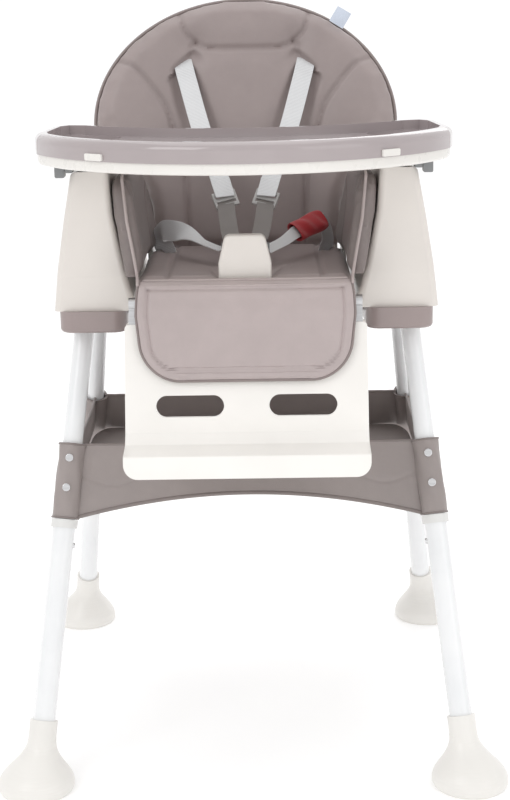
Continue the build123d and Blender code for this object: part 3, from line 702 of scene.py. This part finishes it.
# the flap hangs from the seat's front edge over the top of the footrest; places are (distance down, y, z)
stepHinge = Vector(jointList["footrest_swing"]["pos_m"])
stepUp = Vector(jointList["footrest_height"]["axis"]) * -1
stepOut = Vector((0, -stepUp.z, stepUp.y))
flap = {"thick": 0.0048, "cap": 0.0022, "seam": 0.0125, "groove": 0.0026, "corner": 0.044, "foot": 0.0945,
        "lift": 0.0150}


def flapLine():
    start = [Vector((0, -0.1965, 0.6205)), Vector((0, -0.2035, 0.6180)), Vector((0, -0.2085, 0.6100)),
             Vector((0, -0.2120, 0.6010))]
    for down in (0.012, 0.032, 0.060, flap["foot"]):
        start.append(stepHinge + stepOut * flap["lift"] - stepUp * down)
    return smoothPath(start, 10)


def addFlap():
    line = flapLine()
    run = [0.0]
    for first, second in zip(line, line[1:]):
        run.append(run[-1] + (second - first).length)
    total = run[-1]

    def along(distance):
        k = min(len(run) - 2, max(0, int(np.searchsorted(run, distance)) - 1))
        t = (distance - run[k]) / max(run[k + 1] - run[k], 1e-9)
        return line[k].lerp(line[k + 1], t)

    def sideReach(distance):
        return between([(0, 0.1265), (0.022, 0.1295), (0.045, 0.1305), (total, 0.1215)], distance)

    def halfWidth(distance):
        wide = sideReach(distance)
        left = total - distance
        if left < flap["corner"]:
            wide -= flap["corner"] - math.sqrt(max(0.0, flap["corner"] ** 2 - (flap["corner"] - left) ** 2))
        return wide

    def place(u, v):
        distance = total * math.sin(v * math.pi / 2) * 0.999
        spot = along(distance)
        return Vector((u * halfWidth(distance), spot.y, spot.z))
    pad = gridPiece("calf_flap_pad", 72, 56, place)
    applied(pad, "SOLIDIFY", thickness=flap["thick"], offset=0)
    inflated(pad, 0.0, 4.0, flap["cap"], stepOut, smooth=1)
    # the border seam, pressed in from the front
    points = readPoints(pad)
    flat = np.array([[p.y, p.z] for p in line])
    gaps = np.linalg.norm(points[:, None, 1:] - flat[None], axis=2)
    down = np.array(run)[gaps.argmin(axis=1)]
    wide = np.array([sideReach(d) for d in down])
    left = total - down
    cornerX = np.maximum(0, np.abs(points[:, 0]) - (wide - flap["corner"]))
    cornerZ = flap["corner"] - left
    roundEdge = np.where(cornerX > 0, flap["corner"] - np.hypot(cornerX, np.maximum(0, cornerZ)), left)
    edge = np.where(cornerZ > 0, roundEdge, np.minimum(wide - np.abs(points[:, 0]), left))
    dip = flap["groove"] * np.exp(-((edge - flap["seam"]) / 0.0020) ** 2) * (down > 0.014)
    dip += flap["groove"] * np.exp(-((down - 0.0145) / 0.0022) ** 2) * (np.abs(points[:, 0]) < 0.119)
    out = np.array(stepOut)
    points += -out * (dip[:, None])
    writePoints(pad, points)
    finished(pad, flapSkin, "leatherette", "calf_flap")
    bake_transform(pad)
    edgeLine = []
    for k in range(90):
        distance = 0.006 + (total - 0.006) * math.sin(k / 89 * math.pi / 2)
        spot = along(min(distance, total * 0.9995))
        edgeLine.append(Vector((halfWidth(distance), spot.y, spot.z)))
    whole = edgeLine + [Vector((-p.x, p.y, p.z)) for p in reversed(edgeLine)]
    cord = tube("flap_piping", whole, 0.0020, pipingSkin, "leatherette")
    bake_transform(cord)


def addSeatPiping():
    for name, y, z, wide in (("seat_piping_upper", -0.1985, 0.6222, 0.120),
                             ("seat_piping_lower", -0.2068, 0.6168, 0.122)):
        line = [Vector((wide * at, y + back, z - drop)) for at, back, drop in (
            (-1, 0.003, 0.001), (-0.97, 0, 0), (-0.5, -0.0008, 0), (0, -0.001, 0), (0.5, -0.0008, 0),
            (0.97, 0, 0), (1, 0.003, 0.001))]
        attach(tube(name, smoothPath(line, 8), 0.0019, edgeSkin, "leatherette"), "chair_base")


addSeatPad()
addWing(-1, "wing_left")
addWing(1, "wing_right")
addFlap()
addSeatPiping()
print("seat pad, wings and calf flap made")


# harness: flat webbing, modelled directly

tapeLook = {"shoulderWidth": 0.0250, "waistWidth": 0.0225, "lapLeftWidth": 0.0265,
            "lapRightWidth": 0.0215, "crotchWidth": 0.025, "lapTaper": 0.42, "cuts": 8}


def strap(name, points, width, finish, faceAt, *replaced, thickness=0.0016, widthAt=None):
    line = smoothPath(points, 10)
    run = [0.0]
    for first, second in zip(line, line[1:]):
        run.append(run[-1] + (second - first).length)
    total = run[-1]
    steps = max(20, int(total / 0.004))

    def spotAt(v):
        distance = v * total
        k = min(len(run) - 2, max(0, int(np.searchsorted(run, distance)) - 1))
        t = (distance - run[k]) / max(run[k + 1] - run[k], 1e-9)
        return line[k].lerp(line[k + 1], t), (line[k + 1] - line[k]).normalized()

    def place(u, v):
        spot, ahead = spotAt(v)
        across = ahead.cross(faceAt(v)).normalized()
        half = width / 2 * (widthAt(v) if widthAt else 1.0)
        return spot + across * u * half
    piece = gridPiece(name, tapeLook["cuts"], steps, place)
    uv = piece.data.uv_layers.active.data
    for loop in uv:
        loop.uv = (loop.uv[0] * width, loop.uv[1] * total)
    applied(piece, "SOLIDIFY", thickness=thickness, offset=0)
    applied(piece, "BEVEL", width=0.0004, segments=1, limit_method="ANGLE")
    return finished(piece, finish, "webbing", *replaced, angle=40)


def turned(start, end):
    # a face direction that goes from one to the other along the strap
    a, b = Vector(start).normalized(), Vector(end).normalized()
    return lambda v: a.lerp(b, v).normalized()


sliderLook = {"thickness": 0.0046, "rounding": 0.0010}


def tapeSlider(name, centre, normal, upward):
    # a plate with two windows and a bar between them
    xs, ys = (-0.0160, -0.0125, 0.0125, 0.0160), (-0.0118, -0.0068, -0.0026, 0.0026, 0.0068, 0.0118)
    out = Vector(normal).normalized()
    side = Vector(upward).cross(out).normalized()
    up = out.cross(side)

    def place(u, v):
        x = xs[int(round((u + 1) / 2 * 3))]
        y = ys[int(round(v * 5))]
        return Vector(centre) + side * x + up * y
    piece = gridPiece(name, 3, 5, place)
    activate(piece)
    bpy.ops.object.mode_set(mode="EDIT")
    bpy.ops.mesh.select_mode(type="FACE")
    bpy.ops.object.mode_set(mode="OBJECT")
    for face in piece.data.polygons:
        row, column = (face.center - Vector(centre)).dot(up), (face.center - Vector(centre)).dot(side)
        face.select = abs(column) < 0.01 and 0.003 < abs(row) < 0.0075
    bpy.ops.object.mode_set(mode="EDIT")
    bpy.ops.mesh.delete(type="FACE")
    bpy.ops.object.mode_set(mode="OBJECT")
    applied(piece, "SOLIDIFY", thickness=sliderLook["thickness"], offset=0)
    applied(piece, "BEVEL", width=sliderLook["rounding"], segments=3, limit_method="ANGLE")
    return finished(piece, sliderPlastic, "grey_plastic", "strap_adjusters", angle=50)


def bendWithBack(piece):
    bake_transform(piece)


def addShoulderStraps():
    for side, tag in ((-1, "left"), (1, "right")):
        slot = onBack(side * 0.085, 0.261, -0.002)
        lip = onBack(side * 0.085, 0.2625, 0.018)
        over = onBack(side * 0.0815, 0.2480, 0.0305)
        points = [slot, lip, over, onBack(side * 0.0760, 0.2260, 0.0370), Vector((side * 0.058, 0.062, 0.780)),
                  Vector((side * 0.0405, 0.0325, 0.738)), Vector((side * 0.0275, 0.0035, 0.701))]
        face = turned((0, -0.97, 0.24), (side * -0.10, -0.62, 0.78))
        bendWithBack(strap("shoulder_strap_" + tag, points, tapeLook["shoulderWidth"], silverTape, face,
                           "shoulder_straps"))
        # the folded end that comes back through the slider
        tail = [Vector((side * 0.0330, 0.0150, 0.7180)), Vector((side * 0.0285, 0.0030, 0.7050)),
                Vector((side * 0.0265, -0.0030, 0.6985))]
        bendWithBack(strap("strap_fold_" + tag, tail, tapeLook["shoulderWidth"], silverTape, face, "shoulder_straps"))
        bendWithBack(tapeSlider("strap_slider_" + tag, (side * 0.0265, 0.0, 0.6945), (side * -0.1, -0.80, 0.60),
                                (side * 0.32, 0.62, 0.70)))
        waist = [Vector((side * 0.0262, 0.001, 0.6935)), Vector((side * 0.0250, -0.016, 0.6830)),
                 Vector((side * 0.0225, -0.045, 0.6710)), Vector((side * 0.0200, -0.072, 0.6620)),
                 Vector((side * 0.0165, -0.1035, 0.6562))]
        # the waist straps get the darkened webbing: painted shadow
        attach(strap("waist_strap_" + tag, waist, tapeLook["waistWidth"], shadowedTape,
                      turned((0, -0.60, 0.80), (0, -0.25, 0.97)), "waist_straps"), "chair_base")


def addLapStraps():
    # the left one is twisted over once on its way to the buckle
    left = [Vector((-0.1050, 0.031, 0.6150)), Vector((-0.1130, 0.026, 0.6400)), Vector((-0.1090, 0.002, 0.6550)),
            Vector((-0.0800, -0.045, 0.6575)), Vector((-0.0540, -0.084, 0.6510)), Vector((-0.0280, -0.1125, 0.6450))]

    def twist(v):
        # upright from the slot, then on its edge, then turned over to lie flat at the buckle
        if v < 0.42:
            return Vector((-0.30, -1.0, 0.30)).lerp(Vector((-0.78, -0.58, 0.22)), min(1, max(0, (v - 0.12) / 0.25)))
        return Vector((-0.78, -0.58, 0.22)).lerp(Vector((0.35, -0.40, 0.85)), min(1, (v - 0.42) / 0.34))
    narrow = lambda v: 1.0 - tapeLook["lapTaper"] * min(1, max(0, (v - 0.5) / 0.4))
    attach(strap("lap_strap_left", left, tapeLook["lapLeftWidth"], silverTape, twist, "lap_straps",
                  widthAt=narrow), "chair_base")
    right = [Vector((0.1035, 0.031, 0.6150)), Vector((0.1070, 0.018, 0.6420)), Vector((0.0985, -0.008, 0.6670)),
             Vector((0.0808, -0.0435, 0.6645)), Vector((0.0635, -0.078, 0.6610)), Vector((0.0480, -0.096, 0.6525)),
             Vector((0.0280, -0.1125, 0.6450))]
    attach(strap("lap_strap_right", right, tapeLook["lapRightWidth"], silverTape,
                  turned((0.45, -0.86, 0.25), (0.5, -0.55, 0.66)), "lap_straps", widthAt=narrow), "chair_base")
    crotch = [Vector((0, -0.113, 0.588)), Vector((0, -0.113, 0.605)), Vector((0, -0.113, 0.6272))]
    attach(strap("crotch_strap_web", crotch, tapeLook["crotchWidth"], silverTape, lambda v: Vector((0, -1, 0)),
                  "crotch_strap"), "chair_base")


sleeveLook = {"halfWidth": 0.0142, "halfDepth": 0.0058, "pucker": 0.0011, "cloth": 0.0009}


def addSleeve():
    start, end = Vector((0.0990, -0.008, 0.6680)), Vector((0.0625, -0.0790, 0.6610))
    ahead = (end - start).normalized()
    out = Vector((0.1, -0.92, 0.36))
    out = (out - ahead * out.dot(ahead)).normalized()
    side = ahead.cross(out)

    def place(u, v):
        angle = math.pi * u
        c, s = math.cos(angle), math.sin(angle)
        pucker = sleeveLook["pucker"] * math.sin(3 * angle + 5 * v) * math.sin(math.pi * v)
        pucker += 0.0008 * math.sin(17 * v + 2 * angle)
        half = sleeveLook["halfWidth"] * (1 + 0.05 * math.sin(7 * v)) * (1 - 0.08 * abs(2 * v - 1) ** 6)
        deep = sleeveLook["halfDepth"] + pucker
        x = half * math.copysign(abs(c) ** 0.7, c)
        y = deep * math.copysign(abs(s) ** 0.9, s)
        return start.lerp(end, v) + side * x + out * y
    piece = gridPiece("strap_sleeve_cover", 40, 36, place, closed=True)
    uv = piece.data.uv_layers.active.data
    for loop in uv:
        loop.uv = (loop.uv[0] * 0.06, loop.uv[1] * (end - start).length)
    outward(piece)
    applied(piece, "SOLIDIFY", thickness=sleeveLook["cloth"], offset=-1)
    finished(piece, redTape, "red_sleeve", "strap_sleeve")
    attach(piece, "chair_base")


tagLook = {"halfWidth": 0.0105, "length": 0.023, "tilt": 31.6, "cloth": 0.0011}


def addTag():
    # a small folded label sewn in the cushion's seam
    low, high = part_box("fabric_tag")
    middle = (low + high) / 2
    tilt = math.radians(tagLook["tilt"])
    out = Vector((math.sin(tilt), 0, 0)) + backUp * math.cos(tilt)
    across = out.cross(backOut)

    def place(u, v):
        puff = 0.0011 * math.cos(u * math.pi / 2) * math.sin(v * math.pi)
        along = (v - 0.5) * tagLook["length"] - 0.0045
        return (middle + across * u * tagLook["halfWidth"] + out * along
                + backOut * (puff + 0.0012 * (v - 0.5) * u))
    piece = gridPiece("cushion_tag", 14, 14, place)
    uv = piece.data.uv_layers.active.data
    for loop in uv:
        loop.uv = (loop.uv[0] * 0.026, loop.uv[1] * 0.026)
    applied(piece, "SOLIDIFY", thickness=tagLook["cloth"], offset=0)
    finished(piece, tagTape, "tag_cloth", "fabric_tag")
    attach(piece, "backrest")


addShoulderStraps()
addLapStraps()
addSleeve()
addTag()
print("harness and label made")


# basket: stretched between the legs, front and rear panels in the planes of the legs

basketLook = {"arch": 0.0265, "dip": 0.0013, "seamWidth": 0.0022, "sag": 0.004,
              "cloth": 0.0022}


# the leg axes: where they meet the floor, and how far they lean in per metre of height
legAxis = {"floorX": 0.2681, "floorY": 0.288, "splayX": 0.112, "splayY": 0.36}


def onLeg(side, end, z):
    x = side * (legAxis["floorX"] - legAxis["splayX"] * z)
    return Vector((x, end * (legAxis["floorY"] - legAxis["splayY"] * z), z))


def sheetOf(piece, leaning, replaced):
    # the flat size is measured on the cut, before the cloth gets its thickness
    points = readPoints(piece)
    span = points.max(axis=0) - points.min(axis=0)
    width, length, third = sorted([float(v) for v in span], reverse=True)
    if leaning:
        length = math.hypot(length, third)
    uv = piece.data.uv_layers.active.data
    for loop in uv:
        loop.uv = (loop.uv[0] * width, loop.uv[1] * length)
    applied(piece, "SOLIDIFY", thickness=basketLook["cloth"], offset=0)
    applied(piece, "SUBSURF", levels=1, render_levels=1)
    finished(piece, basketSkin, "basket_cloth", replaced)
    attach(piece, "chair_base")
    return piece


def addBasketEnd(end, name, node, top):
    low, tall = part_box(node)[0].z, top
    facing = Vector((0, end, 0.36)).normalized()

    def place(u, v):
        floorZ = low + basketLook["arch"] * (1 - u * u)
        z = floorZ + (tall - floorZ) * v
        half = onLeg(1, end, z).x - 0.0145
        spot = onLeg(1, end, z)
        x = u * half
        # the front panel is dressed in two long swags beside the middle
        distance = abs(z - swagAt(abs(x))) if end < 0 else 1
        dip = basketLook["dip"] * math.exp(-(distance / basketLook["seamWidth"]) ** 2)
        side = abs(half - abs(x) - 0.0125)
        dip += 0.0008 * math.exp(-(side / 0.0016) ** 2)
        hollow = basketLook["sag"] * (1 - u * u) * math.sin(math.pi * min(1, max(0, v))) * 0.5
        return Vector((x, spot.y, z)) - facing * (dip + hollow)
    piece = gridPiece(name, 150, 44, place)
    sheetOf(piece, True, node)
    for tag, rowV in (("binding", 0.0), ("hem", 1.0)):
        line = [place(-1 + 2 * k / 60, rowV) for k in range(61)]
        rim = tube(name + "_" + tag, line, 0.0026 if rowV == 0 else 0.0019, bindingSkin, "basket_cloth")
        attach(rim, "chair_base")


def swagAt(x):
    # height of the pressed seam, from the sleeve to the middle
    return between([(0.09, 0.3690), (0.135, 0.3660), (0.150, 0.3600), (0.165, 0.3555), (0.180, 0.3560),
                    (0.195, 0.3610),
                    (0.210, 0.3660), (0.225, 0.3685)], x)


def addBasketSides():
    for side, name in ((-1, "basket_side_left"), (1, "basket_side_right")):
        def place(u, v):
            z = 0.3455 + (0.3965 - 0.3455) * v
            leg = onLeg(side, 1, z)
            sag = 0.005 * (1 - u * u) * v
            bow = 0.003 * (1 - u * u) * math.sin(math.pi * v)
            return Vector((leg.x - side * (0.0012 + bow), u * (leg.y - 0.0150), z - sag))
        piece = gridPiece(name, 80, 16, place)
        sheetOf(piece, True, "basket_side_panels")
        line = [place(-1 + 2 * k / 40, 1.0) for k in range(41)]
        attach(tube(name + "_hem", line, 0.0019, bindingSkin, "basket_cloth"), "chair_base")


def addBasketFloor():
    low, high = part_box("basket_floor")
    reachX, reachY = high.x - 0.0005, high.y - 0.0005
    # the cloth runs out to the panels between the legs and draws in at the four legs
    seamX = onLeg(1, 1, 0.3455).x - 0.0030 - reachX
    seamY = onLeg(1, 1, 0.3455).y - 0.0010 - reachY

    def place(u, v):
        w = 2 * v - 1
        x = u * (reachX + seamX * (1 - abs(w) ** 8))
        y = w * (reachY + seamY * (1 - abs(u) ** 12))
        sag = 0.0045 * (1 - u * u) * (1 - w * w)
        ripple = 0.0005 * math.sin(9 * u + 4 * v) * (1 - u * u)
        return Vector((x, y, (low.z + high.z) / 2 - sag + ripple))
    piece = gridPiece("basket_floor_cloth", 70, 60, place)
    sheetOf(piece, False, "basket_floor")


def addBasketSleeves():
    top = {-1: 0.4045, 1: 0.3985}
    for side, sideTag in ((-1, "left"), (1, "right")):
        for end, endTag in ((-1, "front"), (1, "rear")):
            axis = (onLeg(side, end, 0.5) - onLeg(side, end, 0.3)).normalized()
            across = Vector((1, 0, 0)) - axis * axis.x
            across.normalize()
            out = axis.cross(across)

            def place(u, v):
                angle = math.pi * u
                z = 0.3178 + (top[end] - 0.3178) * v
                centre = onLeg(side, end, z)
                # pulled flat on the face that carries the press studs
                c, s = math.cos(angle), math.sin(angle)
                pull = 0.0009 * math.exp(-((v - 0.40) / 0.1) ** 2) + 0.0009 * math.exp(-((v - 0.82) / 0.1) ** 2)
                radius = 0.0165 - pull * max(0.0, math.cos(2 * angle)) * 0.6 + 0.0005 * math.sin(5 * angle + 9 * v)
                return centre + across * c * radius + out * s * radius
            piece = gridPiece("basket_sleeve_" + endTag + "_" + sideTag, 40, 36, place, closed=True)
            outward(piece)
            applied(piece, "SOLIDIFY", thickness=basketLook["cloth"], offset=-1)
            finished(piece, basketSkin, "basket_cloth", "basket_sleeves")
            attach(piece, "chair_base")
            for v in (0.0, 1.0):
                ring = [place(-1 + 2 * k / 32, v) for k in range(32)]
                rim = tube(piece.name + ("_cuff" if v else "_foot"), ring, 0.0013, bindingSkin, "basket_cloth",
                           cyclic=True)
                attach(rim, "chair_base")


addBasketEnd(-1, "basket_front", "basket_front_panel", 0.404)
addBasketEnd(1, "basket_rear", "basket_rear_panel", 0.398)
addBasketSides()
addBasketFloor()
addBasketSleeves()
print("basket hung between the legs")
